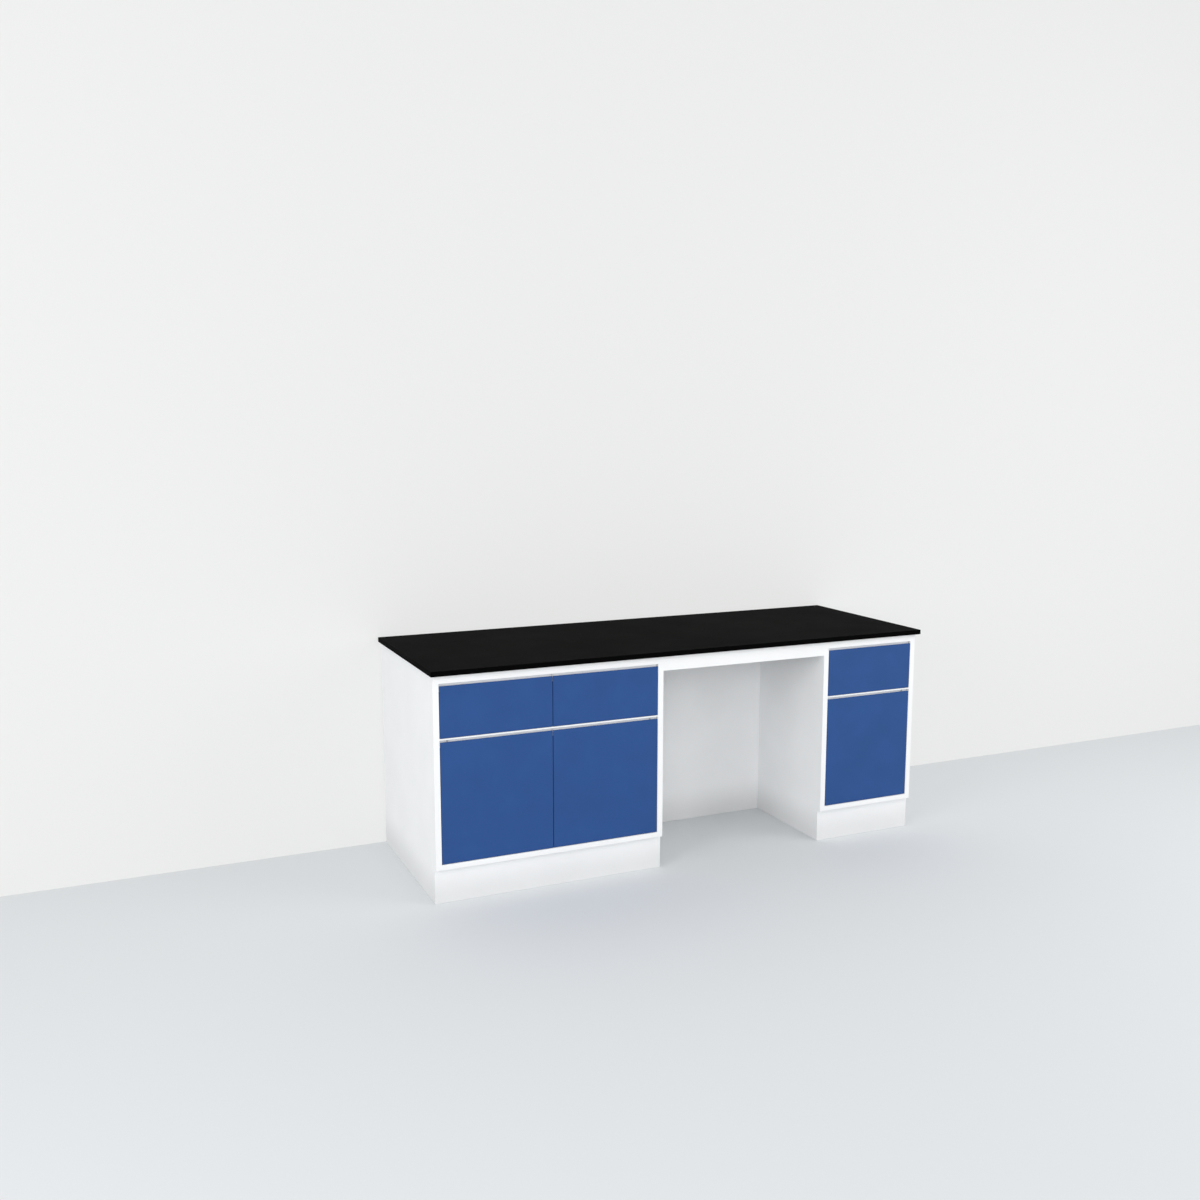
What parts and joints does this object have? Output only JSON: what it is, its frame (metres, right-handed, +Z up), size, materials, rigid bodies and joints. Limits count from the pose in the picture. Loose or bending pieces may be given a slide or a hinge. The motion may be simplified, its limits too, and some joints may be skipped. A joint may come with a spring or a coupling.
{
  "type": "laboratory bench",
  "caption": "Wall bench for a laboratory: black worktop over a wide and a narrow cabinet with flush drawers and doors, and a sitting space between them.",
  "frame": {"origin": "on the floor, under the middle of the worktop", "axes": "+X to the right along the bench as its user sees it, +Y from the front to the wall, +Z up"},
  "size_m": [2.1, 0.75, 0.855],
  "materials": {
    "white_board": "white melamine-faced board, matt",
    "blue_front": "blue laminate-faced board, matt",
    "black_worktop": "black solid phenolic slab, matt",
    "white_metal": "white powder-coated sheet metal",
    "zinc_steel": "zinc-plated steel"
  },
  "bodies": {
    "bench": {"worktop": "black_worktop", "left_cabinet_outer_side": "white_board", "left_cabinet_inner_side": "white_board", "left_cabinet_face_frame": "white_board", "left_cabinet_bottom": "white_board", "left_cabinet_back": "white_board", "left_cabinet_shelf": "white_board", "left_cabinet_plinth": "white_board", "left_cabinet_drawer_rail": "white_board", "left_cabinet_partition": "white_board", "right_cabinet_inner_side": "white_board", "right_cabinet_outer_side": "white_board", "right_cabinet_face_frame": "white_board", "right_cabinet_bottom": "white_board", "right_cabinet_back": "white_board", "right_cabinet_shelf": "white_board", "right_cabinet_plinth": "white_board", "right_cabinet_drawer_rail": "white_board", "knee_apron": "white_board", "knee_back_panel": "white_board", "left_drawer_slide_outer_left": "zinc_steel", "left_drawer_slide_outer_right": "zinc_steel", "middle_drawer_slide_outer_left": "zinc_steel", "middle_drawer_slide_outer_right": "zinc_steel", "right_drawer_slide_outer_left": "zinc_steel", "right_drawer_slide_outer_right": "zinc_steel"},
    "left_drawer": {"left_drawer_front": "blue_front", "left_drawer_pull": "white_metal", "left_drawer_tray": "white_metal", "left_drawer_slide_inner_left": "zinc_steel", "left_drawer_slide_inner_right": "zinc_steel"},
    "left_drawer_slide_middles": {"left_drawer_slide_middle_left": "zinc_steel", "left_drawer_slide_middle_right": "zinc_steel"},
    "middle_drawer": {"middle_drawer_front": "blue_front", "middle_drawer_pull": "white_metal", "middle_drawer_tray": "white_metal", "middle_drawer_slide_inner_left": "zinc_steel", "middle_drawer_slide_inner_right": "zinc_steel"},
    "middle_drawer_slide_middles": {"middle_drawer_slide_middle_left": "zinc_steel", "middle_drawer_slide_middle_right": "zinc_steel"},
    "right_drawer": {"right_drawer_front": "blue_front", "right_drawer_pull": "white_metal", "right_drawer_tray": "white_metal", "right_drawer_slide_inner_left": "zinc_steel", "right_drawer_slide_inner_right": "zinc_steel"},
    "right_drawer_slide_middles": {"right_drawer_slide_middle_left": "zinc_steel", "right_drawer_slide_middle_right": "zinc_steel"},
    "left_door": {"left_door_panel": "blue_front", "left_door_pull": "white_metal", "left_door_top_pin": "zinc_steel", "left_door_bottom_pin": "zinc_steel"},
    "middle_door": {"middle_door_panel": "blue_front", "middle_door_pull": "white_metal", "middle_door_top_pin": "zinc_steel", "middle_door_bottom_pin": "zinc_steel"},
    "right_door": {"right_door_panel": "blue_front", "right_door_pull": "white_metal", "right_door_top_pin": "zinc_steel", "right_door_bottom_pin": "zinc_steel"}
  },
  "joints": [
    {"name": "left_drawer_slide", "type": "slide", "parent": "bench", "child": "left_drawer", "axis": [0, -1, 0], "range_m": [0, 0.5]},
    {"name": "left_drawer_slide_middle", "type": "slide", "parent": "bench", "child": "left_drawer_slide_middles", "axis": [0, -1, 0], "range_m": [0, 0.25]},
    {"name": "middle_drawer_slide", "type": "slide", "parent": "bench", "child": "middle_drawer", "axis": [0, -1, 0], "range_m": [0, 0.5]},
    {"name": "middle_drawer_slide_middle", "type": "slide", "parent": "bench", "child": "middle_drawer_slide_middles", "axis": [0, -1, 0], "range_m": [0, 0.25]},
    {"name": "right_drawer_slide", "type": "slide", "parent": "bench", "child": "right_drawer", "axis": [0, -1, 0], "range_m": [0, 0.5]},
    {"name": "right_drawer_slide_middle", "type": "slide", "parent": "bench", "child": "right_drawer_slide_middles", "axis": [0, -1, 0], "range_m": [0, 0.25]},
    {"name": "left_door_hinge", "type": "hinge", "parent": "bench", "child": "left_door", "pos_m": [-0.988, -0.35, 0.4], "axis": [0, 0, -1], "range_deg": [0, 110]},
    {"name": "middle_door_hinge", "type": "hinge", "parent": "bench", "child": "middle_door", "pos_m": [-0.192, -0.35, 0.4], "axis": [0, 0, 1], "range_deg": [0, 110]},
    {"name": "right_door_hinge", "type": "hinge", "parent": "bench", "child": "right_door", "pos_m": [0.983, -0.35, 0.4], "axis": [0, 0, 1], "range_deg": [0, 110]}
  ],
  "couplings": [
    {"joint": "left_drawer_slide_middle", "follows": "left_drawer_slide", "ratio": 0.5},
    {"joint": "middle_drawer_slide_middle", "follows": "middle_drawer_slide", "ratio": 0.5},
    {"joint": "right_drawer_slide_middle", "follows": "right_drawer_slide", "ratio": 0.5}
  ]
}
